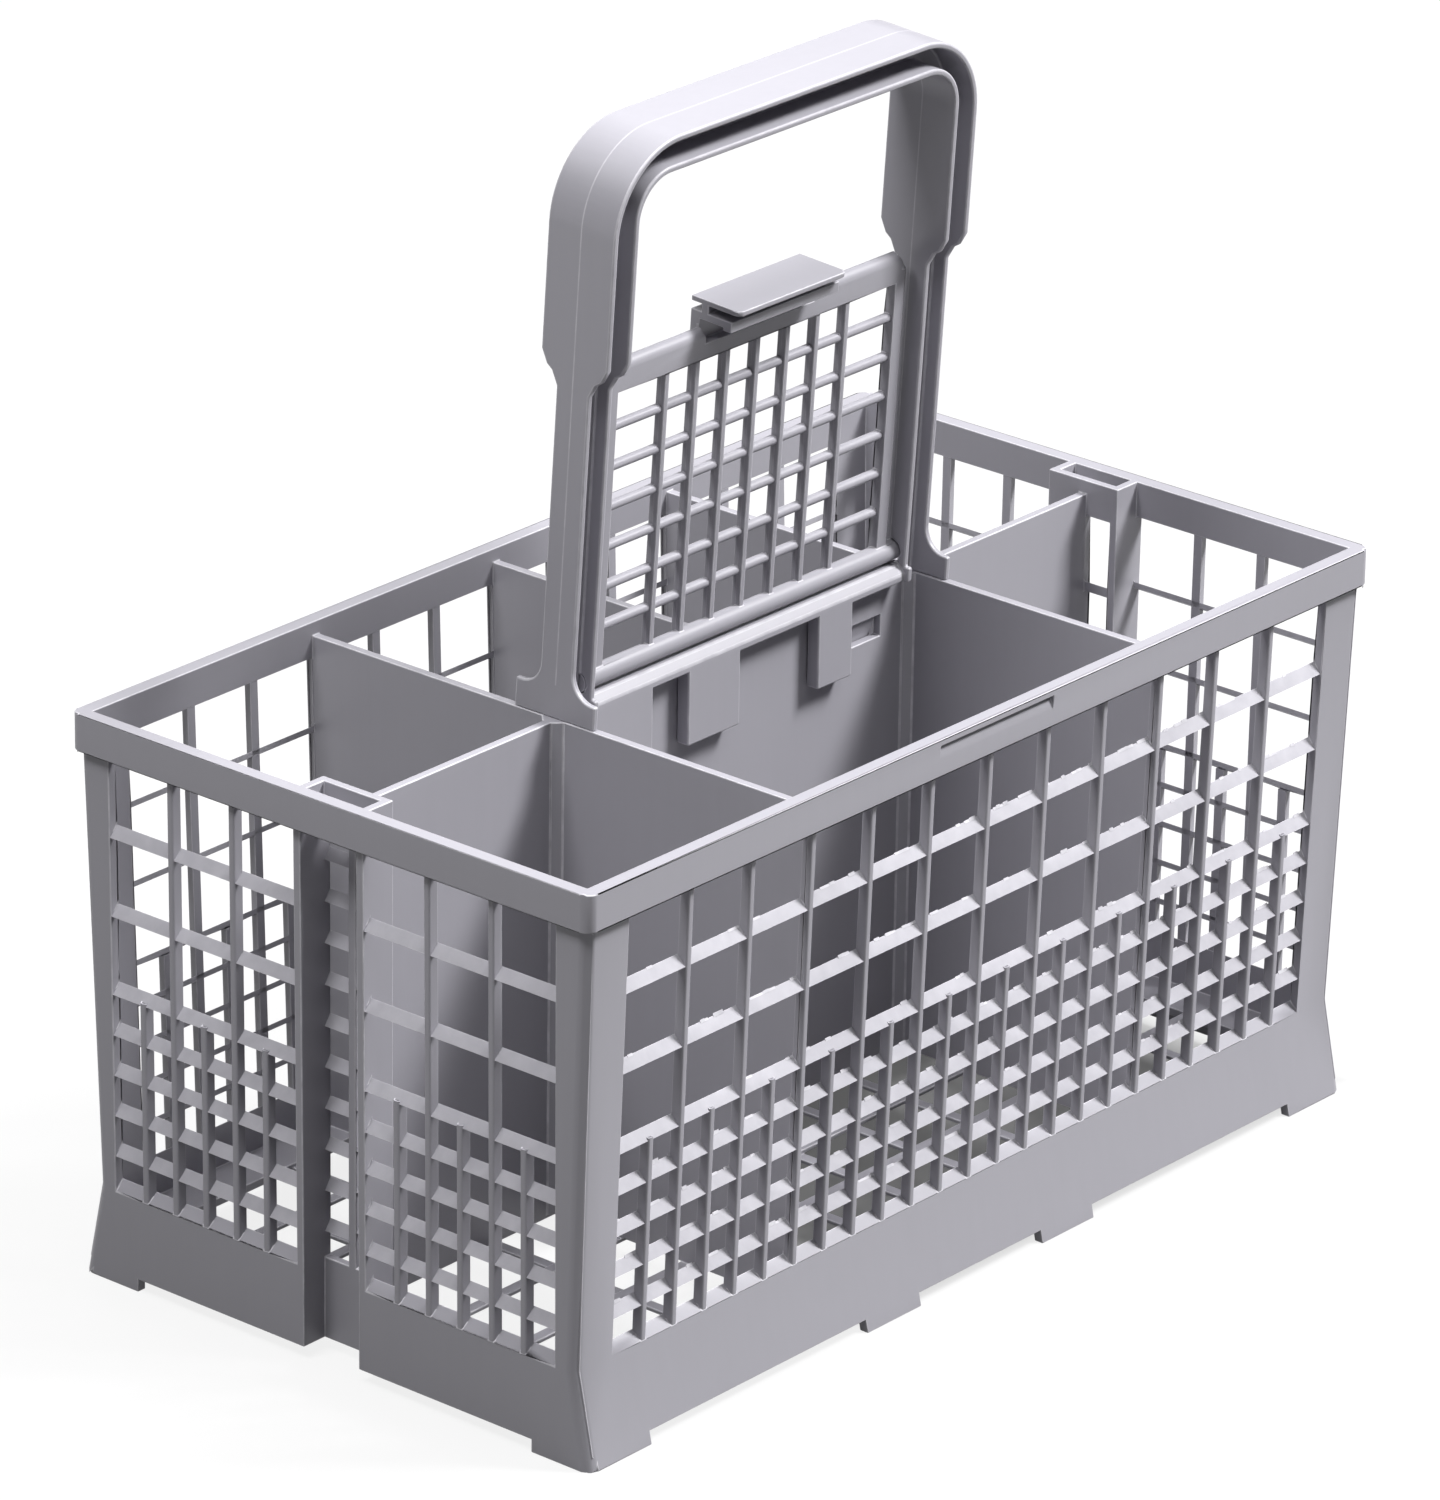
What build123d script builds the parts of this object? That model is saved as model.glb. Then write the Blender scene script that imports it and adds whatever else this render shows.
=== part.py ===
from build123d import *
import os

os.makedirs("parts", exist_ok=True)

# Rim, walls and skirt of the basket
rim_length = 240.0
rim_width = 133.5
basket_height = 120.2
rim_height = 7.7
rim_overhang = 1.2
corner_bevel = 1.6
wall = 2.1
end_draft = 0.8
side_draft = 3.05
skirt_top = 20.05
skirt_flare = 4.2
foot_height = 2.7
corner_foot_x = 18.0
corner_foot_y = 15.0
mid_foot = 16.5
mid_foot_x = 27.3

# Open work of the walls
side_post = 11.8
end_post = 8.05
side_columns = 12
end_columns = 3
coarse_rows = 3
coarse_pitch = 16.7
fine_rows = 5
fine_pitch = 8.7
bar_front = 1.3
bar_back = 1.8
bar_recess = 0.1
bar_depth = 1.05
sill_front = 1.2
sill_rise = 2.3
root = 0.3

# Recessed channel down the middle of each end
channel_width = 14.4
channel_depth = 6.8
channel_wall = 1.8
window_rows = 11

# Floor and dividers
floor_top = 12.0
floor_thickness = 1.8
floor_rib = 2.6
ribs_per_bay = 3
columns_per_bay = 3
divider = 1.9
divider_drop = 2.9
column_width = 5.6

# Latch groove in the front rim and snap slot in the middle divider
groove_width = 34.6
groove_drop = 1.3
groove_height = 2.8
groove_depth = 1.3
slot_x = 39.4
slot_width = 9.2
slot_height = 4.6
slot_drop = 7.1

# Handle: an arch of H section that leans over the front
handle_half = 54.3
handle_rise = 119.2
handle_depth = 7.2
handle_rake = 3.4
flange = 1.3
web = 2.0
arch_outer_radius = 17.9
arch_inner_radius = 8.5
grip_width = 16.8
leg_width = 8.25
shoulder_rise = 70.4
shoulder_height = 3.0
shoulder_bevel = 1.77
foot_width = 20.4
foot_thickness = 5.6
foot_fillet = 5.0
toe_width = 10.6
toe_thickness = 3.4

# Ledge between the legs and the tabs that clip it to the middle divider
ledge_front = 4.3
ledge_back = 3.4
ledge_lip = 1.6
ledge_height = 3.3
tab_gap = 0.25
tab_bottom = 15.6
skirt_tab_end = 29.7
middle_tab_x = 11.2
middle_tab_width = 15.6
right_tab_x = 25.95
right_tab_width = 10.5
rear_lip = 5.0
barb_clearance = 0.7
barb_top = 0.3
barb_reach = 1.4

# Lid: framed grille on a rod, with a thumb latch
hinge_rise = 5.9
hinge_forward = 0.2
rod_diameter = 4.2
rod_clearance = 0.25
lid_half = 44.6
lid_side = 2.9
lid_thickness = 2.4
lid_back = 1.4
lid_top = 71.4
lid_top_bar = 6.2
lid_corner = 1.8
lid_columns = 7
lid_column_pitch = 9.04
lid_rows = 7
lid_bar_front = 1.2
lid_bar_back = 1.5
lid_bar_recess = 0.1
lid_bar_depth = 1.2
lid_rung = 1.7
latch_width = 32.4
latch_notch = 2.9
latch_plate = 12.3
latch_plate_thickness = 1.1
latch_plate_rise = 4.8
latch_back = 3.4
latch_wall = 1.6
latch_web = 1.8
latch_hang = 3.6
latch_lip_rise = 0.95
latch_lip_height = 0.65
latch_lip_reach = 7.0
latch_lip_width = 2.1

rim_bottom = basket_height - rim_height
divider_top = basket_height - divider_drop
top_x = rim_length / 2 - rim_overhang
top_y = rim_width / 2 - rim_overhang
low_x = top_x - end_draft
low_y = top_y - side_draft
wall_drop = rim_bottom - skirt_top


# Basket: one moulding, drafted for the mould, with the skirt flared on the long sides
def section(inset, half_x, half_y, z):
    outline = Rectangle(2 * (half_x - inset), 2 * (half_y - inset))
    if inset < corner_bevel:
        outline = chamfer(outline.vertices(), corner_bevel - inset)
    return Pos(0, 0, z) * outline


def envelope(inset):
    bottom = section(inset, low_x, low_y + skirt_flare, 0)
    waist = section(inset, low_x, low_y, skirt_top)
    top = section(inset, top_x, top_y, rim_bottom)
    return loft([bottom, waist, top], ruled=True) + extrude(top, rim_height)


rim = extrude(section(0, rim_length / 2, rim_width / 2, rim_bottom), rim_height)
shell = envelope(0) + rim - envelope(wall)

# One large window in each long wall and two in each end, over a sloping edge on the skirt
side_half = top_x - side_post
end_half = top_y - end_post
channel_half = channel_width / 2 + channel_wall


def window(half_depth, width):
    slope = sill_rise / wall
    inside = half_depth - 2 * wall
    outside = half_depth + 2 * wall
    low = skirt_top - 2 * wall * slope
    high = skirt_top + 2 * wall * slope
    corners = [(-outside, rim_bottom), (-outside, low), (-inside, high), (inside, high)]
    corners += [(outside, low), (outside, rim_bottom)]
    return extrude(Plane.YZ * Polygon(*corners, align=None), width / 2, both=True)


shell -= window(low_y, 2 * side_half)
for side in (-1, 1):
    middle = side * (end_half + channel_half) / 2
    shell -= Pos(0, middle, 0) * Rot(0, 0, 90) * window(low_x, end_half - channel_half)

# Skirt cut away between the feet
foot_inner = low_x - corner_foot_x
mid_outer = mid_foot_x + mid_foot / 2
mid_inner = mid_foot_x - mid_foot / 2
skirt_cut = Box(2 * mid_inner, 2 * rim_width, 2 * foot_height)
for side in (-1, 1):
    outer_gap = foot_inner - mid_outer
    gap_middle = side * (foot_inner + mid_outer) / 2
    skirt_cut += Pos(gap_middle, 0, 0) * Box(outer_gap, 2 * rim_width, 2 * foot_height)
end_gap = 2 * (low_y + skirt_flare - corner_foot_y)
skirt_cut += Box(2 * rim_length, end_gap, 2 * foot_height)
shell -= skirt_cut


# Upright bars taper towards the outside; sills cross behind them and slope down to the outside
def upright(front_width, back_width, front_y, back_y, length):
    half_front = front_width / 2
    half_back = back_width / 2
    corners = [(-half_front, front_y), (half_front, front_y), (half_back, back_y), (-half_back, back_y)]
    return extrude(Polygon(*corners, align=None), length)


def sill(front_y, back_y, front_rise, back_rise, length):
    profile = Polygon((front_y, 0), (back_y, 0), (back_y, back_rise), (front_y, front_rise), align=None)
    return extrude(Plane.YZ * profile, length / 2, both=True)


coarse_levels = [-coarse_pitch * (row + 1) for row in range(coarse_rows)]
fine_start = coarse_levels[-1]
fine_levels = [fine_start - fine_pitch * (row + 1) for row in range(fine_rows - 1)]
bar_inner = wall - bar_recess


def open_work(start, end, columns):
    pitch = (end - start) / columns
    bottom = -wall_drop - root
    crossing = bar_recess + bar_depth
    tall = upright(bar_front, bar_back, bar_recess, crossing, root - bottom)
    short = upright(bar_front, bar_back, bar_recess, crossing, fine_start + sill_front / 2 - bottom)
    ledge = sill(crossing, bar_inner, sill_front, sill_rise, end - start + 2 * root)
    bars = [Pos(start + pitch * (i + 1), 0, bottom) * tall for i in range(columns - 1)]
    bars += [Pos(start + pitch * (i + 0.5), 0, bottom) * short for i in range(columns)]
    bars += [Pos((start + end) / 2, 0, level) * ledge for level in coarse_levels + fine_levels]
    return bars


front = Plane(origin=(0, -top_y, rim_bottom), x_dir=(1, 0, 0), z_dir=(0, -side_draft, wall_drop))
left = Plane(origin=(-top_x, 0, rim_bottom), x_dir=(0, -1, 0), z_dir=(-end_draft, 0, wall_drop))
bars = [front.location * bar for bar in open_work(-side_half, side_half, side_columns)]
bars += [left.location * bar for bar in open_work(-end_half, -channel_half, end_columns)]
bars += [left.location * bar for bar in open_work(channel_half, end_half, end_columns)]
bars += [Rot(0, 0, 180) * bar for bar in bars]
shell = shell + bars

# Floor of crossed ribs in two layers, with dividers that stand on the ribs
cavity = envelope(bar_recess + bar_depth - root)
bay = columns_per_bay * 2 * side_half / side_columns
floor_pitch = bay / ribs_per_bay
floor_columns = 4 * ribs_per_bay
floor_rows = 2 * ribs_per_bay
floor_bottom = floor_top - floor_thickness
layer = floor_thickness / 2
floor_length = floor_columns * floor_pitch - floor_rib
floor_width = floor_rows * floor_pitch - floor_rib
lower_rib = Rectangle(floor_rib, floor_width + floor_rib)
upper_rib = Rectangle(floor_length + floor_rib, floor_rib)
lower_ribs = [Pos(0, -floor_width / 4) * Rectangle(floor_rib, floor_width / 2 + floor_rib)]
for i in range(floor_columns):
    if i % ribs_per_bay:
        lower_ribs.append(Pos(floor_pitch * (i - floor_columns / 2), 0) * lower_rib)
upper_ribs = []
for i in range(floor_rows):
    if i % ribs_per_bay:
        upper_ribs.append(Pos(0, floor_pitch * (i - floor_rows / 2)) * upper_rib)
border = Rectangle(rim_length, rim_width) - Rectangle(floor_length, floor_width)
floor = Pos(0, 0, floor_bottom) * (extrude(border, floor_thickness) + extrude(Sketch() + lower_ribs, layer))
floor += Pos(0, 0, floor_bottom + layer) * extrude(Sketch() + upper_ribs, layer)
inner_end = top_x - channel_depth - channel_wall / 2
octagon = Rot(0, 0, 22.5) * RegularPolygon(column_width / 2, 8, major_radius=False)
long_divider = Rectangle(2 * inner_end, divider)
cross_dividers = [Pos(0, rim_width / 4) * Rectangle(divider, rim_width / 2)]
columns = []
for side in (-1, 1):
    cross_dividers.append(Pos(side * bay, 0) * Rectangle(divider, rim_width))
    columns.append(Pos(side * bay, 0) * octagon)
dividers = Pos(0, 0, floor_bottom + layer) * extrude(long_divider, divider_top - floor_bottom - layer)
dividers += Pos(0, 0, floor_top) * extrude(Sketch() + cross_dividers + columns, divider_top - floor_top)
inside = (floor + dividers) & cavity

# Channels: a box behind each end wall, open to the outside below the rim
box_outer = low_x - wall / 2
box_back = top_x - channel_depth
box_length = box_outer - box_back + channel_wall
box_height = basket_height - foot_height
box_z = foot_height + box_height / 2
recess_length = rim_length / 2 - box_back
throat_length = top_x - wall - box_back
channel_box = Box(box_length, channel_width + 2 * channel_wall, box_height)
window_width = (channel_width - divider) / 2
window_x = (divider + window_width) / 2
boxes = []
recesses = []
for side in (-1, 1):
    boxes.append(Pos(side * (box_outer - box_length / 2), 0, box_z) * channel_box)
    recess = Box(recess_length, channel_width, 2 * rim_bottom)
    throat = Box(throat_length, channel_width, 2 * basket_height)
    recesses.append(Pos(side * (box_back + recess_length / 2), 0, 0) * recess)
    recesses.append(Pos(side * (box_back + throat_length / 2), 0, basket_height) * throat)
    for hand in (-1, 1):
        slit = Box(4 * channel_wall, window_width, wall_drop)
        recesses.append(Pos(side * box_back, hand * window_x, rim_bottom - wall_drop / 2) * slit)
basket = shell + [inside] + boxes
basket = basket - recesses

# Rungs across the slits of the channels, close together on one half and level with the sills on the other
rung_back = channel_wall - bar_recess
rung_profile = Polygon((bar_recess, 0), (rung_back, 0), (rung_back, sill_rise), align=None)
rung = extrude(Plane.YZ * rung_profile, window_width / 2 + root, both=True)
close_levels = [-fine_pitch * (row + 1) for row in range(window_rows - 1)]
channel = Plane(origin=(-box_back, 0, rim_bottom), x_dir=(0, -1, 0), z_dir=(0, 0, 1))
rungs = [channel.location * Pos(window_x, 0, level) * rung for level in close_levels]
rungs += [channel.location * Pos(-window_x, 0, level) * rung for level in coarse_levels + fine_levels]
basket = basket + rungs + [Rot(0, 0, 180) * bar for bar in rungs]

# Latch groove and snap slot
groove_z = basket_height - groove_drop
groove_front = rim_width / 2
groove_profile = Polygon(
    (-groove_front, groove_z),
    (-groove_front + groove_depth, groove_z),
    (-groove_front, groove_z - groove_height),
    align=None,
)
basket -= extrude(Plane.YZ * groove_profile, groove_width / 2, both=True)
slot_z = divider_top - slot_drop - slot_height / 2
basket -= Pos(slot_x, 0, slot_z) * Box(slot_width, 2 * divider, slot_height)
export_step(basket.solid(), "parts/basket.step")


# Handle: the arch is drawn upright and leaned over its feet
leg_base = -foot_thickness


def arch(inset, radius):
    half = handle_half - inset
    top = handle_rise - inset
    corners = [(-half, leg_base), (-half, top), (half, top), (half, leg_base)]
    outline = make_face(Polyline(*corners, close=True))
    return fillet(outline.vertices().sort_by(Axis.Y)[-2:], radius)


def side_outline(foot, thickness):
    leg = leg_width / 2
    grip = grip_width / 2
    shoulder = shoulder_rise + shoulder_height
    crown = handle_rise + flange
    half = [(foot / 2, leg_base), (foot / 2, thickness), (leg, thickness), (leg, shoulder_rise)]
    half += [(grip, shoulder), (grip, crown)]
    mirrored = [(-y, z) for y, z in reversed(half)]
    outline = make_face(Polyline(*(half + mirrored), close=True))
    bends = [v for v in outline.vertices() if shoulder_rise - 0.1 < v.Y < shoulder + 0.1]
    return chamfer(bends, shoulder_bevel)


outer_band = arch(0, arch_outer_radius) - arch(flange, arch_outer_radius - flange)
inner_skin = arch(handle_depth, arch_inner_radius)
inner_band = arch(handle_depth - flange, arch_inner_radius + flange) - inner_skin
web_band = arch(0, arch_outer_radius) - inner_skin
outer_outline = side_outline(foot_width, foot_thickness)
instep = [v for v in outer_outline.vertices() if abs(v.Y - foot_thickness) < 0.1 and abs(v.X) < leg_width]
outer_outline = fillet(instep, foot_fillet)
outer_side = extrude(Plane.YZ * outer_outline, handle_half, both=True)
inner_side = extrude(Plane.YZ * side_outline(toe_width, toe_thickness), handle_half, both=True)
outer_flange = extrude(Plane.XZ * outer_band, foot_width, both=True) & outer_side
inner_flange = extrude(Plane.XZ * inner_band, foot_width, both=True) & inner_side
arch_web = extrude(Plane.XZ * web_band, web / 2, both=True)
arch_body = outer_flange + inner_flange + arch_web
hinge = Pos(0, -hinge_forward, hinge_rise)
pivot_outline = RegularPolygon(rod_diameter / 2 + rod_clearance, 8, major_radius=False)
pivot_hole = extrude(Plane.YZ * pivot_outline, handle_half - handle_depth + flange, both=True)
arch_body -= hinge * pivot_hole
lean = Pos(0, 0, divider_top) * Rot(handle_rake, 0, 0)
arch_body = lean * arch_body
below = Box(2 * rim_length, 2 * rim_width, basket_height)
arch_body -= Pos(0, 0, divider_top - basket_height / 2) * below

# Ledge over the middle divider, tabs in front of it, lip and barbed tab behind it
ledge_half = handle_half - handle_depth + flange / 2
tab_face = divider / 2 + tab_gap
ledge_profile = Polygon(
    (-ledge_front, 0),
    (ledge_back, 0),
    (ledge_back, ledge_height),
    (-ledge_front + ledge_height - ledge_lip, ledge_height),
    (-ledge_front, ledge_lip),
    align=None,
)
ledge = Pos(0, 0, divider_top) * extrude(Plane.YZ * ledge_profile, ledge_half, both=True)


def tab(start, end, front_y, back_y, drop):
    size = Box(end - start, back_y - front_y, drop)
    return Pos((start + end) / 2, (front_y + back_y) / 2, divider_top - drop / 2) * size


middle_start = -middle_tab_x - middle_tab_width / 2
right_start = right_tab_x - right_tab_width / 2
tabs = [
    tab(-handle_half + handle_depth, -skirt_tab_end, -ledge_front, -tab_face, tab_bottom),
    tab(middle_start, middle_start + middle_tab_width, -ledge_front, -tab_face, tab_bottom),
    tab(right_start, right_start + right_tab_width, -ledge_front, -tab_face, tab_bottom),
    tab(-ledge_half, -tab_face, tab_face, ledge_back, rear_lip),
    tab(tab_face, ledge_half, tab_face, ledge_back, rear_lip),
]
barb_half = slot_width / 2 - barb_clearance
barb_z = slot_z + slot_height / 2 - barb_top
barb_profile = Polygon(
    (tab_face, barb_z),
    (tab_face - barb_reach, barb_z),
    (tab_face, slot_z - slot_height / 2),
    align=None,
)
tabs.append(tab(slot_x - barb_half, slot_x + barb_half, tab_face, ledge_back, tab_bottom))
tabs.append(Pos(slot_x, 0, 0) * extrude(Plane.YZ * barb_profile, barb_half, both=True))
handle = arch_body + [ledge] + tabs
export_step(handle.solid(), "parts/handle.step")

# Lid: grille between the legs, drawn upright about the hinge rod and leaned with the arch
lid_front = lid_back - lid_thickness
lid_height = lid_top - hinge_rise
opening_height = lid_height - lid_top_bar
frame_outline = Rectangle(2 * lid_half, lid_height, align=(Align.CENTER, Align.MIN))
frame_outline = chamfer(frame_outline.vertices().sort_by(Axis.Y)[-2:], lid_corner)
frame_opening = Rectangle(2 * (lid_half - lid_side), opening_height, align=(Align.CENTER, Align.MIN))
frame = extrude(Plane.XZ * (frame_outline - frame_opening), lid_thickness)
frame = Pos(0, lid_back, hinge_rise) * frame
notch = Box(latch_width, 2 * lid_thickness, 2 * latch_notch)
frame -= Pos(0, lid_front, lid_top) * notch
bar_y = lid_front + lid_bar_recess
bar_end = lid_back - lid_bar_recess
rung_y = bar_y + lid_bar_depth
lid_upright = upright(lid_bar_front, lid_bar_back, bar_y, rung_y, opening_height + root)
lid_sill = sill(rung_y, bar_end, lid_rung, lid_rung, 2 * (lid_half - lid_side + root))
row_pitch = (opening_height - rod_diameter / 2 + lid_rung) / lid_rows
grille = []
for i in range(lid_columns):
    column_x = (i - (lid_columns - 1) / 2) * lid_column_pitch
    grille.append(Pos(column_x, 0, hinge_rise) * lid_upright)
for i in range(lid_rows - 1):
    grille.append(Pos(0, 0, hinge_rise + opening_height - row_pitch * (i + 1)) * lid_sill)
rod_length = 2 * (handle_half - handle_depth + flange - rod_clearance)
rod = hinge * Rot(0, 90, 0) * Cylinder(rod_diameter / 2, rod_length)

# Thumb latch: wall hung behind the notched top bar, shelf with a hooked lip, web and thumb plate
lip_bottom = lid_top + latch_lip_rise
shelf_bottom = lip_bottom + latch_lip_height
shelf_top = shelf_bottom + latch_wall
plate_bottom = lid_top + latch_plate_rise
plate_top = plate_bottom + latch_plate_thickness
plate_front = latch_back - latch_plate
wall_front = lid_back - root
wall_bottom = lid_top - latch_notch - latch_hang + latch_wall
lip_back = latch_lip_width - latch_lip_reach
latch_profile = Polygon(
    (wall_front, wall_bottom),
    (wall_front, shelf_bottom),
    (lip_back, shelf_bottom),
    (lip_back, lip_bottom),
    (-latch_lip_reach, lip_bottom),
    (-latch_lip_reach, shelf_top),
    (lid_front, shelf_top),
    (lid_front, plate_bottom),
    (plate_front, plate_bottom),
    (plate_front, plate_top),
    (latch_back, plate_top),
    (latch_back, plate_bottom),
    (lid_front + latch_web, plate_bottom),
    (lid_front + latch_web, shelf_top),
    (latch_back, shelf_top),
    (latch_back, wall_bottom),
    align=None,
)
latch = extrude(Plane.YZ * latch_profile, latch_width / 2, both=True)
lid = lean * (frame + grille + [rod, latch])
export_step(lid.solid(), "parts/lid.step")
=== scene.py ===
import math

import bmesh
import bpy
from mathutils import Matrix, Vector, noise


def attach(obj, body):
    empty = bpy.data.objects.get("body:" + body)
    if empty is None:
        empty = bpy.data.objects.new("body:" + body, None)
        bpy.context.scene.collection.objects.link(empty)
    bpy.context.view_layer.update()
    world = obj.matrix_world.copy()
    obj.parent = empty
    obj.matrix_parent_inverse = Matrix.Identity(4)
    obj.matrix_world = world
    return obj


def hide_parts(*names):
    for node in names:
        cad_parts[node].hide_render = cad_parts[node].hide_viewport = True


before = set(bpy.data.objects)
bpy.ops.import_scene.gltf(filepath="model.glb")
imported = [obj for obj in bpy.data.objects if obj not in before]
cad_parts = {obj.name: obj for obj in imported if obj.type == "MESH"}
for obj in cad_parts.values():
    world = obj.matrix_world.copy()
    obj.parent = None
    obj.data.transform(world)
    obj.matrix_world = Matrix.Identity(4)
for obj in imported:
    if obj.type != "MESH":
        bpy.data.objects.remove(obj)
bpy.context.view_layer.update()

# Basket: the large moulding, with its rim, open walls, skirt, floor, dividers and end channels.
# Grey polypropylene, injection moulded in one shot: its edges are round, its bars taper outwards and
# thin light flash is left where the halves of the mould met; its rounded edges also carry a painted
# highlight.
weld = 0.000002
crease_turn = 32
shading_turn = 50
basket_edge = 0.00022
bar_edge = 0.00012
corner_round = 0.0008
corner_bevel = 0.0016
corner_reach = 0.006
corner_turn_least = 40
corner_turn_most = 50
upright_share = 0.9
rim_height = 0.0077
overhang = 0.0012
skirt_top = 0.02005
skirt_flare = 0.0042
end_draft = 0.0008
side_draft = 0.00305
side_post = 0.0118
end_post = 0.00805
channel_half = 0.009
channel_width = 0.0144
channel_depth = 0.0068
divider = 0.0019
rung_face = 0.0001
rung_back = 0.0017
close_rungs = 10
side_columns = 12
end_columns = 3
coarse_pitch = 0.0167
coarse_rows = 3
fine_pitch = 0.0087
fine_rows = 5
bar_front = 0.00145
bar_back = 0.00222
bar_round = 0.0004
bar_inside = 0.00203
bar_crossing = 0.0011
sill_rise = 0.00236
sill_edge = 0.00018
sill_under = 0.0011
sill_light = 0.3
snug = 0.00003
root = 0.0003
ridge = 0.0001
ridge_sunk = 0.00015
ridge_light = 0.6
foot_height = 0.003


def copied(node):
    form = bmesh.new()
    form.from_mesh(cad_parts[node].data)
    form.faces.layers.float.new("flash_and_highlight")
    bmesh.ops.remove_doubles(form, verts=form.verts, dist=weld)
    return form


def sharp_edges(form, degrees):
    return [e for e in form.edges if e.is_manifold and e.calc_face_angle() > math.radians(degrees)]


def soften(form, edges, width, steps, light):
    flash_and_highlight = form.faces.layers.float["flash_and_highlight"]
    rounded = bmesh.ops.bevel(
        form, geom=edges, offset=width, offset_type="OFFSET", affect="EDGES",
        segments=steps, profile=0.5, material=-1, clamp_overlap=False,
    )
    for face in rounded["faces"]:
        face[flash_and_highlight] = light


def bar(form, place, corners, travel, light):
    flash_and_highlight = form.faces.layers.float["flash_and_highlight"]
    ring = [form.verts.new(place @ Vector(corner)) for corner in corners]
    end = form.faces.new(ring)
    drawn = bmesh.ops.extrude_face_region(form, geom=[end])["geom"]
    moved = [v for v in drawn if isinstance(v, bmesh.types.BMVert)]
    bmesh.ops.translate(form, verts=moved, vec=place.to_3x3() @ Vector(travel))
    faces = list({f for v in ring + moved for f in v.link_faces})
    bmesh.ops.recalc_face_normals(form, faces=faces)
    for face in faces:
        face[flash_and_highlight] = light
    return [e for v in ring for e in v.link_edges if e.other_vert(v) in moved]


def tapered(middle, front, back, face, inside, low):
    section = [(middle - front / 2, face, low), (middle + front / 2, face, low)]
    return section + [(middle + back / 2, inside, low), (middle - back / 2, inside, low)]


def finished(form, node, name):
    corners = [Vector(corner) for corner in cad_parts[node].bound_box]
    for vert in form.verts:
        for axis in range(3):
            low = min(corner[axis] for corner in corners)
            high = max(corner[axis] for corner in corners)
            vert.co[axis] = min(max(vert.co[axis], low), high)
    mesh = bpy.data.meshes.new(name)
    form.to_mesh(mesh)
    form.free()
    mesh.shade_smooth()
    mesh.set_sharp_from_angle(angle=math.radians(shading_turn))
    mesh.materials.clear()
    piece = bpy.data.objects.new(name, mesh)
    bpy.context.scene.collection.objects.link(piece)
    piece.modifiers.new("flat faces stay flat", "WEIGHTED_NORMAL").keep_sharp = True
    return piece


class Finish:
    def __init__(self, tree, output=None):
        self.tree = tree
        self.output = output

    def node(self, kind, settings, sockets, output=0):
        made = self.tree.nodes.new("ShaderNode" + kind)
        for name, value in settings.items():
            setattr(made, name, value)
        for name, value in sockets.items():
            if isinstance(value, Finish):
                self.tree.links.new(value.output, made.inputs[name])
            else:
                made.inputs[name].default_value = value
        return Finish(self.tree, made.outputs[output])

    def math(self, operation, first, second):
        return self.node("Math", {"operation": operation}, {0: first, 1: second})

    def __add__(self, other):
        return self.math("ADD", self, other)

    def __sub__(self, other):
        return self.math("SUBTRACT", self, other)

    def __rsub__(self, other):
        return self.math("SUBTRACT", other, self)

    def __mul__(self, other):
        return self.math("MULTIPLY", self, other)

    __radd__ = __add__
    __rmul__ = __mul__


# The plastic is clouded a little, streaked along the draw of the mould and finely grained. A Mix node's
# sockets for colours have no names of their own, so their numbers are kept here.
grey_plastic = (0.365, 0.357, 0.395)
# Pale colour for mould flash, also used as a painted highlight along rounded edges.
flash_and_highlight_colour = (0.82, 0.81, 0.85)
basket_gloss = 0.42
cloud_scale = 22.0
cloud_tone = 0.22
cloud_gloss = 0.12
streak_stretch = (420.0, 420.0, 28.0)
streak_tone = 0.14
streak_relief = 0.6
grain_scale = 2600.0
grain_gloss = 0.06
ragged_scale = 300.0
noise_middle = 0.5
darkest = 0.86
lightest = 1.14
flash_and_highlight_cover = 0.9
skin_strength = 0.25
skin_depth = 0.00003
plastic_ior = 1.49
first_colour = 6
second_colour = 7
mixed_colour = 2


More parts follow.
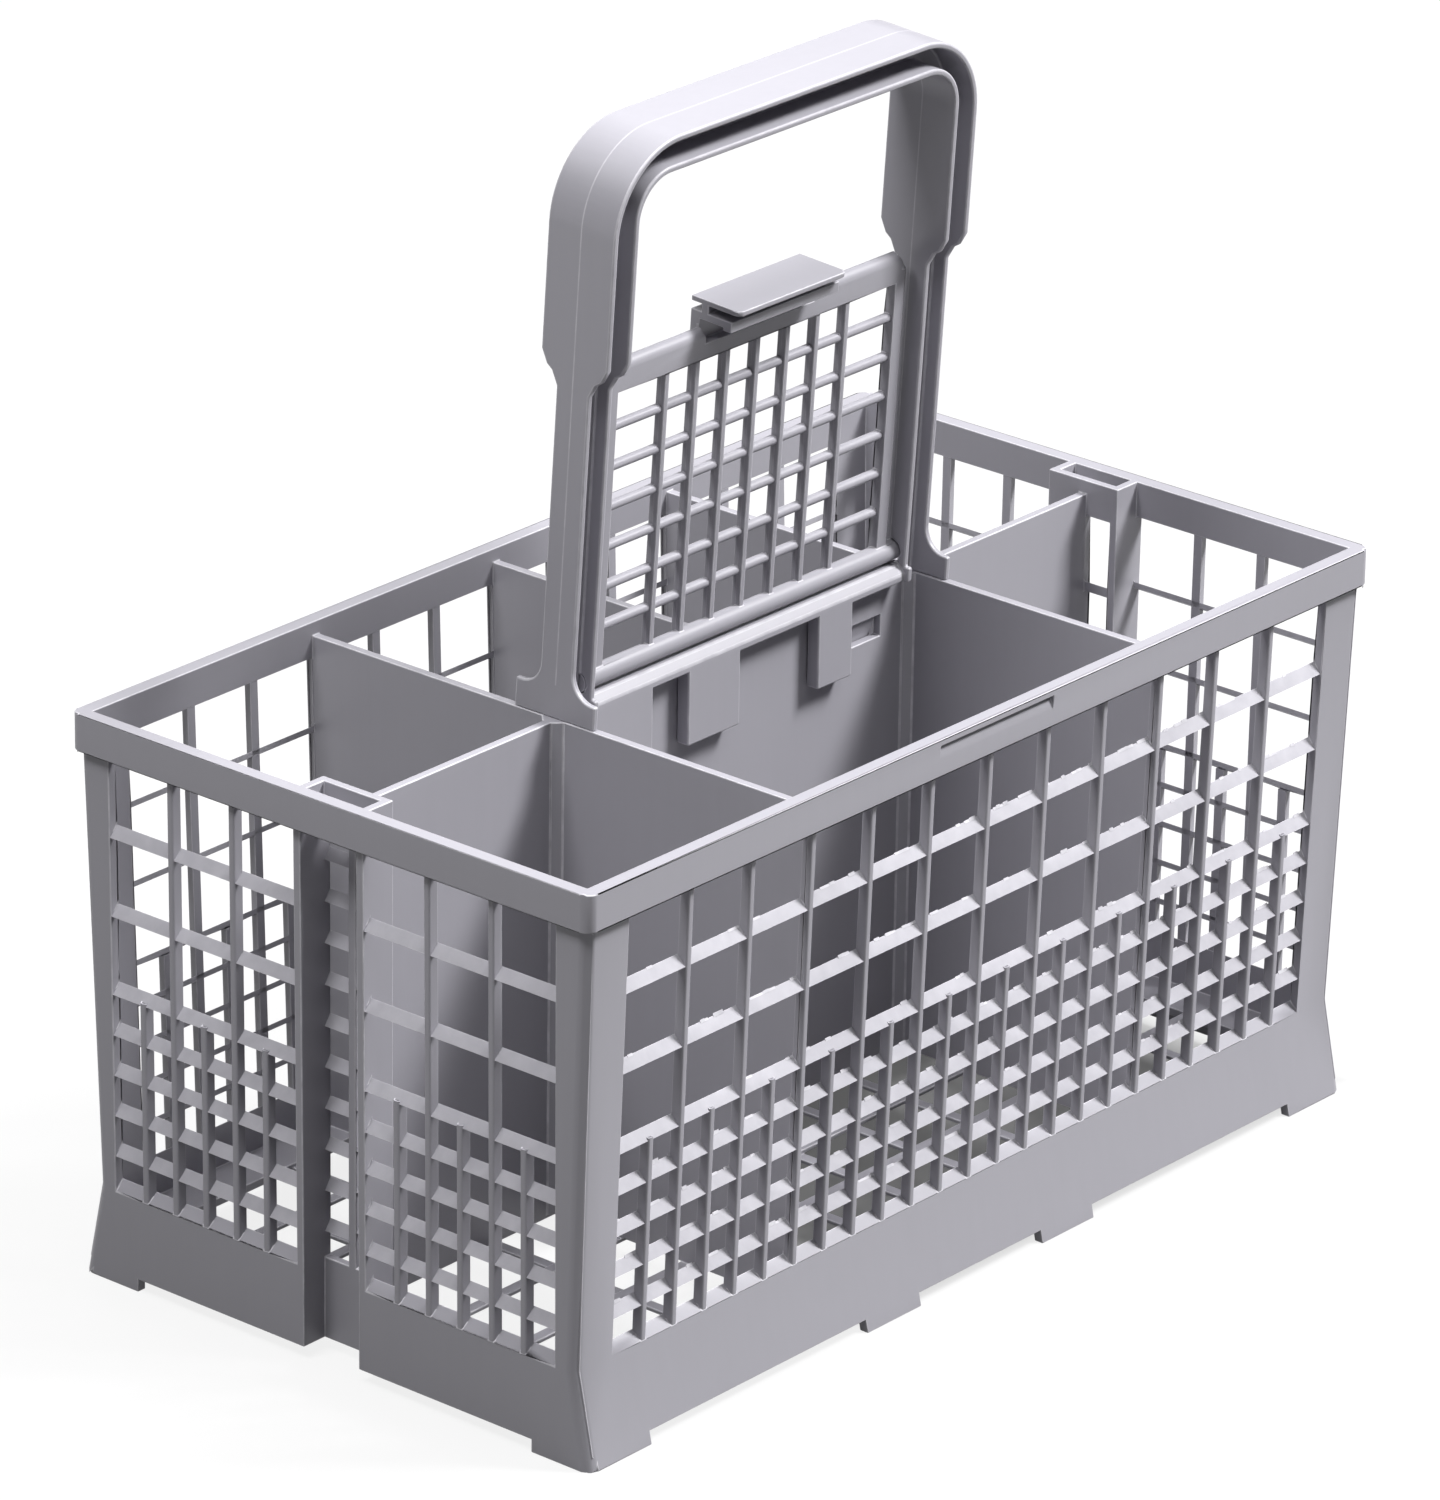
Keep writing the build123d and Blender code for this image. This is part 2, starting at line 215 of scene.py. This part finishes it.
def polypropylene(name, body, pale, gloss):
    material = bpy.data.materials.new(name)
    material.use_nodes = True
    tree = material.node_tree
    shader = tree.nodes["Principled BSDF"]
    start = Finish(tree)
    place = start.node("TexCoord", {}, {}, "Object")
    cloud = start.node("TexNoise", {}, {"Vector": place, "Scale": cloud_scale, "Detail": 3.0})
    drawn = start.node("Mapping", {}, {"Vector": place, "Scale": streak_stretch})
    streak = start.node("TexNoise", {}, {"Vector": drawn, "Scale": 1.0, "Detail": 2.0})
    grain = start.node("TexNoise", {}, {"Vector": place, "Scale": grain_scale, "Detail": 2.0})
    ragged = start.node("TexNoise", {}, {"Vector": place, "Scale": ragged_scale, "Detail": 3.0})
    flash_and_highlight = start.node("Attribute", {"attribute_name": "flash_and_highlight"}, {}, "Fac")
    tone = (cloud - noise_middle) * cloud_tone + (streak - noise_middle) * streak_tone
    tints = {
        0: tone + noise_middle,
        first_colour: tuple(c * darkest for c in body) + (1.0,),
        second_colour: tuple(c * lightest for c in body) + (1.0,),
    }
    shade = start.node("Mix", {"data_type": "RGBA"}, tints, mixed_colour)
    # Marked faces turn pale in ragged patches: partly real flash, partly a painted highlight on the
    # edges.
    flash_and_highlight_share = flash_and_highlight * (ragged * flash_and_highlight_cover)
    edges = {0: flash_and_highlight_share, first_colour: shade, second_colour: pale + (1.0,)}
    colour = start.node("Mix", {"data_type": "RGBA"}, edges, mixed_colour)
    relief = grain + streak * streak_relief
    skin = start.node("Bump", {}, {"Strength": skin_strength, "Distance": skin_depth, "Height": relief})
    roughness = gloss + (cloud - noise_middle) * cloud_gloss + (grain - noise_middle) * grain_gloss
    tree.links.new(colour.output, shader.inputs["Base Color"])
    tree.links.new(roughness.output, shader.inputs["Roughness"])
    tree.links.new(skin.output, shader.inputs["Normal"])
    shader.inputs["IOR"].default_value = plastic_ior
    return material


basket_form = copied("basket")
half_length = max(v.co.x for v in basket_form.verts)
half_width = max(v.co.y for v in basket_form.verts)
basket_top = max(v.co.z for v in basket_form.verts)
rim_bottom = basket_top - rim_height
drop = rim_bottom - skirt_top
top_x = half_length - overhang
top_y = half_width - overhang
coarse_levels = [-coarse_pitch * (row + 1) for row in range(coarse_rows)]
fine_start = coarse_levels[-1]
fine_levels = [fine_start - fine_pitch * (row + 1) for row in range(fine_rows - 1)]
sill_levels = coarse_levels + fine_levels


# A wall's own place: along the wall, in from its outer face, and up it from the underside of the rim.
def wall_place(origin, along, lean):
    along = Vector(along)
    up = Vector(lean).normalized()
    return Matrix.Translation(origin) @ Matrix((along, up.cross(along), up)).transposed().to_4x4()


walls = []
for turned in (0.0, math.pi):
    turn_round = Matrix.Rotation(turned, 4, "Z")
    front = turn_round @ wall_place((0.0, -top_y, rim_bottom), (1.0, 0.0, 0.0), (0.0, -side_draft, drop))
    left = turn_round @ wall_place((-top_x, 0.0, rim_bottom), (0.0, -1.0, 0.0), (-end_draft, 0.0, drop))
    walls.append((front, side_post - top_x, top_x - side_post, side_columns))
    walls.append((left, end_post - top_y, -channel_half, end_columns))
    walls.append((left, channel_half, top_y - end_post, end_columns))

# Sills are sloping slats, so the flat underside of the solid's sills is raised towards the inside.
under_slope = sill_under / (bar_inside - sill_edge)
for place, start, end, columns in walls:
    to_wall = place.inverted()
    up = place.to_3x3() @ Vector((0.0, 0.0, 1.0))
    for vert in basket_form.verts:
        along, depth, height = to_wall @ vert.co
        inside = bar_crossing < depth < bar_inside and start - 2 * root < along < end + 2 * root
        if inside and any(abs(height - level) < snug for level in sill_levels):
            vert.co += up * (under_slope * (depth - sill_edge) + snug)

# The left channel shows its close rungs on the far half, so the solid's rungs come out of that end.
slit_width = (channel_width - divider) / 2
slit_middle = (channel_width + divider) / 4
channel = wall_place((channel_depth - top_x, 0.0, rim_bottom), (0.0, -1.0, 0.0), (0.0, 0.0, 1.0))
to_channel = channel.inverted()
old_rungs = []
for face in basket_form.faces:
    along, depth, height = to_channel @ face.calc_center_median()
    across_slit = abs(abs(along) - slit_middle) < slit_width / 3
    if across_slit and rung_face / 2 < depth < rung_back + snug and -drop + root < height < -root:
        old_rungs.append(face)
bmesh.ops.delete(basket_form, geom=old_rungs, context="FACES")
open_edges = [e for e in basket_form.edges if e.is_boundary]
bmesh.ops.holes_fill(basket_form, edges=open_edges, sides=0)
bmesh.ops.recalc_face_normals(basket_form, faces=basket_form.faces)

# The upright edges of the solid's bevelled corners are rounded first, and then all other sharp edges.
corner_edges = []
for edge in sharp_edges(basket_form, corner_turn_least):
    first, last = (v.co for v in edge.verts)
    by_end = min(abs(first.x), abs(last.x)) > top_x - corner_reach
    by_side = min(abs(first.y), abs(last.y)) > top_y - corner_reach
    upright = abs(first.z - last.z) > upright_share * edge.calc_length()
    if by_end and by_side and upright and edge.calc_face_angle() < math.radians(corner_turn_most):
        corner_edges.append(edge)
soften(basket_form, corner_edges, corner_round, steps=4, light=0.0)
# All other sharp edges take the pale colour: partly flash, partly a painted highlight.
soften(basket_form, sharp_edges(basket_form, crease_turn), basket_edge, steps=2, light=1.0)


def uprights(form, place, start, end, columns):
    pitch = (end - start) / columns
    low = -drop - root
    fronts = []
    backs = []
    for column in range(1, 2 * columns):
        middle = start + pitch * column / 2
        top = fine_start + 2 * root if column % 2 else root
        section = tapered(middle, bar_front, bar_back, 0.0, bar_inside, low)
        edges = bar(form, place, section, (0.0, 0.0, top - low), light=0.0)
        fronts += edges[:2]
        backs += edges[2:]
    return fronts, backs


# The sills are tinted a little pale: partly frosted flash, partly a painted highlight on their tops.
def slat(form, place, start, end, face, back, level):
    section = [(start - root, face, level), (start - root, back, level + sill_under)]
    section += [(start - root, back, level + sill_rise)]
    return bar(form, place, section, (end - start + 2 * root, 0.0, 0.0), sill_light)


# Crumbs of flash along the inner edge of a sill: their lengths and heights wander with smooth noise.
burr_length = 0.003
burr_height = 0.0007
burr_width = 0.0003
burr_shortest = 0.3
burr_spread = 2.2
burr_least = 0.1
length_along = 400
length_down = 900
height_along = 700
height_down = 500
height_layer = 6.0


def crumbs(form, place, start, end, level):
    top = level + sill_rise
    crumb = start
    while crumb < end:
        wander = abs(noise.noise((crumb * length_along, level * length_down, 0.0)))
        length = burr_length * (burr_shortest + burr_spread * wander)
        height = burr_height * noise.noise((crumb * height_along, level * height_down, height_layer))
        if height > burr_least * burr_height and crumb + length < end:
            section = [(crumb, bar_inside - burr_width, top - burr_width)]
            section += [(crumb, bar_inside, top - burr_width), (crumb, bar_inside, top + height)]
            bar(form, place, section, (length, 0.0, 0.0), light=1.0)
        crumb += length


bars_form = bmesh.new()
bars_form.faces.layers.float.new("flash_and_highlight")
round_edges = []
bar_edges = []
for place, start, end, columns in walls:
    fronts, backs = uprights(bars_form, place, start, end, columns)
    round_edges += fronts
    bar_edges += backs
    for level in sill_levels:
        bar_edges += slat(bars_form, place, start, end, sill_edge, bar_inside, level)
close_levels = [-fine_pitch * (row + 1) for row in range(close_rungs)]
for middle, levels in ((-slit_middle, close_levels), (slit_middle, sill_levels)):
    slit = (middle - slit_width / 2, middle + slit_width / 2)
    for level in levels:
        bar_edges += slat(bars_form, channel, slit[0], slit[1], rung_face, rung_back, level)
soften(bars_form, round_edges, bar_round, steps=4, light=0.0)
# The back edges of bars and sills turn pale: partly flash, partly a painted highlight.
soften(bars_form, [e for e in bar_edges if e.is_valid], bar_edge, steps=2, light=1.0)
front, start, end, columns = walls[0]
for level in sill_levels:
    crumbs(bars_form, front, start, end, level)

# A thin parting line runs down each corner, from the rim to the skirt and on down its flare;
# its pale colour is partly flash and partly a painted highlight.
ridge_ring = ((-ridge, -ridge), (ridge, -ridge), (ridge, ridge), (-ridge, ridge))
flare = skirt_flare * (1 - foot_height / skirt_top)
bottom_y = top_y - side_draft - ridge_sunk
for side in (-1, 1):
    bottom_x = side * (top_x - end_draft - corner_bevel)
    for hand in (-1, 1):
        foot = Vector((bottom_x, hand * (bottom_y + flare), foot_height))
        waist = Vector((bottom_x, hand * bottom_y, skirt_top))
        neck = Vector((side * (top_x - corner_bevel), hand * (top_y - ridge_sunk), rim_bottom))
        for begin, stop in ((foot, waist), (waist, neck)):
            section = [begin + Vector((x, y, 0.0)) for x, y in ridge_ring]
            bar(bars_form, Matrix(), section, stop - begin, ridge_light)
bars_mesh = bpy.data.meshes.new("bars")
bars_form.to_mesh(bars_mesh)
bars_form.free()
basket_form.from_mesh(bars_mesh)
basket = finished(basket_form, "basket", "basket_moulding")
basket.data.materials.append(polypropylene("basket grey", grey_plastic, flash_and_highlight_colour, basket_gloss))
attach(basket, "basket")
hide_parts("basket")

# Handle: an arch of H section on two feet, with the ledge and tabs that clip over the middle divider.
# A second moulding of the same polypropylene. Along the middle of the arch a pale strip is painted for
# its fine parting line, and its rounded edges are pale too: partly flash, partly a painted highlight.
handle_edge = 0.00042
handle_light = 0.6
handle_gloss = 0.36
divider_drop = 0.0029
rake = math.radians(3.4)
parting = 0.00016
parting_light = 0.7
arch_start = 0.007
lean = Matrix.Translation((0.0, 0.0, basket_top - divider_drop)) @ Matrix.Rotation(rake, 4, "X")
stand_up = lean.inverted()
handle_form = copied("handle")
soften(handle_form, sharp_edges(handle_form, crease_turn), handle_edge, steps=3, light=handle_light)
across = lean.to_3x3() @ Vector((0.0, 1.0, 0.0))
for side in (-1, 1):
    bmesh.ops.bisect_plane(
        handle_form, geom=handle_form.verts[:] + handle_form.edges[:] + handle_form.faces[:],
        plane_co=lean @ Vector((0.0, side * parting, 0.0)), plane_no=across,
    )
# A pale strip painted for the parting line: partly flash, partly a painted highlight.
handle_flash_and_highlight = handle_form.faces.layers.float["flash_and_highlight"]
for face in handle_form.faces:
    middle = stand_up @ face.calc_center_median()
    if abs(middle.y) < parting and middle.z > arch_start:
        face[handle_flash_and_highlight] = parting_light
handle = finished(handle_form, "handle", "handle_moulding")
handle.data.materials.append(polypropylene("handle grey", grey_plastic, flash_and_highlight_colour, handle_gloss))
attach(handle, "basket")
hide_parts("handle")

# Lid: the framed grille with its hinge rod and thumb latch.
# A third moulding of the same polypropylene, snapped between the legs of the handle; its rungs are
# round rods that lie behind the flat uprights, and its top bar is well rounded.
lid_edge = 0.0002
lid_gloss = 0.4
lid_top = 0.0714
lid_front = -0.001
lid_back = 0.0016
lid_inner = 0.0417
lid_side = 0.0029
lid_corner = 0.0018
slack = 0.0001
top_front_round = 0.0019
top_back_round = 0.0004
plate_corner = 0.0015
plate_corner_least = 0.0008
plate_rise = 0.0048
plate_reach = 0.003
grille_top = 0.0652
rung_pitch = 0.008414
rung_count = 6
rung_middle = 0.00085
rung_radius = 0.00098
rung_depth = 0.0005
rung_sides = 16
lid_columns = 7
lid_column_pitch = 0.00904
stile_front = 0.00124
stile_back = 0.0016
stile_face = -0.00092
stile_inside = 0.00132
stile_round = 0.0004
hinge_rise = 0.0059
lid_form = copied("lid")
half_lid = lid_inner + lid_side
top_front = []
top_back = []
plate_edges = []
for edge in sharp_edges(lid_form, crease_turn):
    first, last = (stand_up @ v.co for v in edge.verts)
    low = min(first.z, last.z)
    high = max(first.z, last.z)
    fore = min(first.y, last.y)
    aft = max(first.y, last.y)
    in_frame = fore > lid_front - slack and aft < lid_back
    on_top = low > lid_top - lid_corner - slack and high < lid_top + slack
    outer = low > lid_top - slack or min(abs(first.x), abs(last.x)) > half_lid - lid_corner - slack
    if in_frame and on_top and outer and aft - fore < 2 * slack:
        (top_front if first.y < 0.0 else top_back).append(edge)
    on_plate = low > lid_top + plate_rise - 2 * slack and aft < lid_front - plate_reach
    if on_plate and high - low > plate_corner_least:
        plate_edges.append(edge)
soften(lid_form, plate_edges, plate_corner, steps=5, light=0.0)
soften(lid_form, [e for e in top_front if e.is_valid], top_front_round, steps=5, light=0.0)
soften(lid_form, [e for e in top_back if e.is_valid], top_back_round, steps=2, light=0.0)
# All other sharp edges are rounded and turn pale: partly flash, partly a painted highlight.
soften(lid_form, sharp_edges(lid_form, crease_turn), lid_edge, steps=2, light=1.0)
rung_turns = [2 * math.pi * side / rung_sides for side in range(rung_sides)]
for rung in range(rung_count):
    level = grille_top - rung_pitch * (rung + 1) + rung_middle
    section = []
    for angle in rung_turns:
        depth = rung_depth + rung_radius * math.cos(angle)
        section.append((-lid_inner - root, depth, level + rung_radius * math.sin(angle)))
    bar(lid_form, lean, section, (2 * (lid_inner + root), 0.0, 0.0), light=0.0)
stiles = []
for column in range(lid_columns):
    middle = (column - (lid_columns - 1) / 2) * lid_column_pitch
    section = tapered(middle, stile_front, stile_back, stile_face, stile_inside, hinge_rise)
    stiles += bar(lid_form, lean, section, (0.0, 0.0, grille_top + root - hinge_rise), light=0.0)
soften(lid_form, stiles, stile_round, steps=3, light=0.0)
lid = finished(lid_form, "lid", "lid_moulding")
lid.data.materials.append(polypropylene("lid grey", grey_plastic, flash_and_highlight_colour, lid_gloss))
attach(lid, "lid")
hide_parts("lid")

# Floor and light: a pale sheet of paper, and soft boxes above, behind, high in front and on the left.
# The sheet reads white to the camera and keeps the soft shadow round the skirt. Under the basket, where
# its walls keep the light out, the sheet's white is held back as a painted shadow, fading towards the
# edges of that patch.
floor_half = 6.0
white = (1.0, 1.0, 1.0, 1.0)
paper_colour = (0.1, 0.1, 0.1, 1.0)
paper_roughness = 0.9
paper_glow = 0.84
shade_middle = 0.045
shade_length = 0.08
shade_width = 0.066
shade_fade = 0.7
shade_glow = 0.1
room_light = 0.03
floor_form = bmesh.new()
bmesh.ops.create_grid(floor_form, x_segments=1, y_segments=1, size=floor_half)
floor_mesh = bpy.data.meshes.new("floor")
floor_form.to_mesh(floor_mesh)
floor_form.free()
floor = bpy.data.objects.new("floor", floor_mesh)
bpy.context.scene.collection.objects.link(floor)
paper = bpy.data.materials.new("pale paper")
paper.use_nodes = True
paper_start = Finish(paper.node_tree)
paper_shader = paper.node_tree.nodes["Principled BSDF"]
paper_shader.inputs["Base Color"].default_value = paper_colour
paper_shader.inputs["Roughness"].default_value = paper_roughness
sheet = Finish(paper.node_tree, paper_shader.outputs[0])
seen = paper_start.node("LightPath", {}, {}, "Is Camera Ray")
seen = seen + paper_start.node("LightPath", {}, {}, "Is Glossy Ray")
seen = seen + paper_start.node("LightPath", {}, {}, "Is Transmission Ray")
spot = paper_start.node("TexCoord", {}, {}, "Object")
spot_x = paper_start.node("SeparateXYZ", {}, {"Vector": spot}, "X")
spot_y = paper_start.node("SeparateXYZ", {}, {"Vector": spot}, "Y")
# Painted shadow: the glow fades down in a patch under the basket.
out_x = paper_start.math("ABSOLUTE", spot_x - shade_middle, 0.0) * (1.0 / shade_length)
out_y = paper_start.math("ABSOLUTE", spot_y, 0.0) * (1.0 / shade_width)
out = paper_start.math("MAXIMUM", out_x, out_y)
fade = {"Value": out, "From Min": shade_fade, "From Max": 1.0, "To Min": shade_glow}
clear = paper_start.node("MapRange", {}, fade)
glow = paper_start.node("Emission", {}, {"Color": white, "Strength": paper_glow})
both = paper_start.node("AddShader", {}, {0: sheet, 1: glow})
mixed = paper_start.node("MixShader", {}, {0: seen * clear, 1: sheet, 2: both})
paper.node_tree.links.new(mixed.output, paper.node_tree.nodes["Material Output"].inputs["Surface"])
floor.data.materials.append(paper)

world = bpy.data.worlds.new("studio")
world.use_nodes = True
bpy.context.scene.world = world
backdrop = world.node_tree.nodes["Background"]
backdrop.inputs["Color"].default_value = white
world_start = Finish(world.node_tree)
straight = world_start.node("LightPath", {}, {}, "Is Camera Ray")
straight = straight + world_start.node("LightPath", {}, {}, "Is Transmission Ray")
strength = straight * (1.0 - room_light) + room_light
world.node_tree.links.new(strength.output, backdrop.inputs["Strength"])


def softbox(name, place, aim, width, height, power):
    lamp = bpy.data.lights.new(name, "AREA")
    lamp.shape = "RECTANGLE"
    lamp.size = width
    lamp.size_y = height
    lamp.energy = power
    box = bpy.data.objects.new(name, lamp)
    box.location = place
    box.rotation_euler = (Vector(aim) - Vector(place)).to_track_quat("-Z", "Y").to_euler()
    bpy.context.scene.collection.objects.link(box)


softbox("top box", (0.05, -0.15, 1.3), (0.0, 0.0, 0.1), width=1.4, height=1.2, power=13.0)
softbox("back box", (0.9, 1.4, 1.1), (0.0, 0.0, 0.1), width=1.4, height=0.9, power=4.0)
softbox("front box", (1.05, -1.12, 1.9), (0.0, 0.0, 0.08), width=0.6, height=0.6, power=82.0)
softbox("left box", (-0.55, 0.08, 0.95), (-0.1, 0.0, 0.1), width=0.3, height=0.3, power=5.6)

# Camera: a long lens at the height of a table top, turned to the near corner of the basket.
# Its place, roll and shift are those of the picture that the basket was measured from.
turn = math.radians(-49.87)
rise = math.radians(22.71)
roll = math.radians(0.91)
aim_height = 0.060
distance = 1.8991
slide = 0.00009
lift = 0.03118
back = Vector((math.sin(turn) * math.cos(rise), -math.cos(turn) * math.cos(rise), math.sin(rise)))
right = Vector((math.cos(turn), math.sin(turn), 0.0))
up = Vector((-math.sin(turn) * math.sin(rise), math.cos(turn) * math.sin(rise), math.cos(rise)))
right, up = right * math.cos(roll) + up * math.sin(roll), up * math.cos(roll) - right * math.sin(roll)
lens = bpy.data.cameras.new("camera")
lens.lens = 227.87
lens.sensor_width = 36.0
lens.shift_x = -0.0072
lens.shift_y = 0.00037
camera = bpy.data.objects.new("camera", lens)
stand = Vector((0.0, 0.0, aim_height)) + back * distance - right * slide + up * lift
camera.matrix_world = Matrix.Translation(stand) @ Matrix((right, up, back)).transposed().to_4x4()
bpy.context.scene.collection.objects.link(camera)
bpy.context.scene.camera = camera
bpy.context.scene.view_settings.view_transform = "Standard"
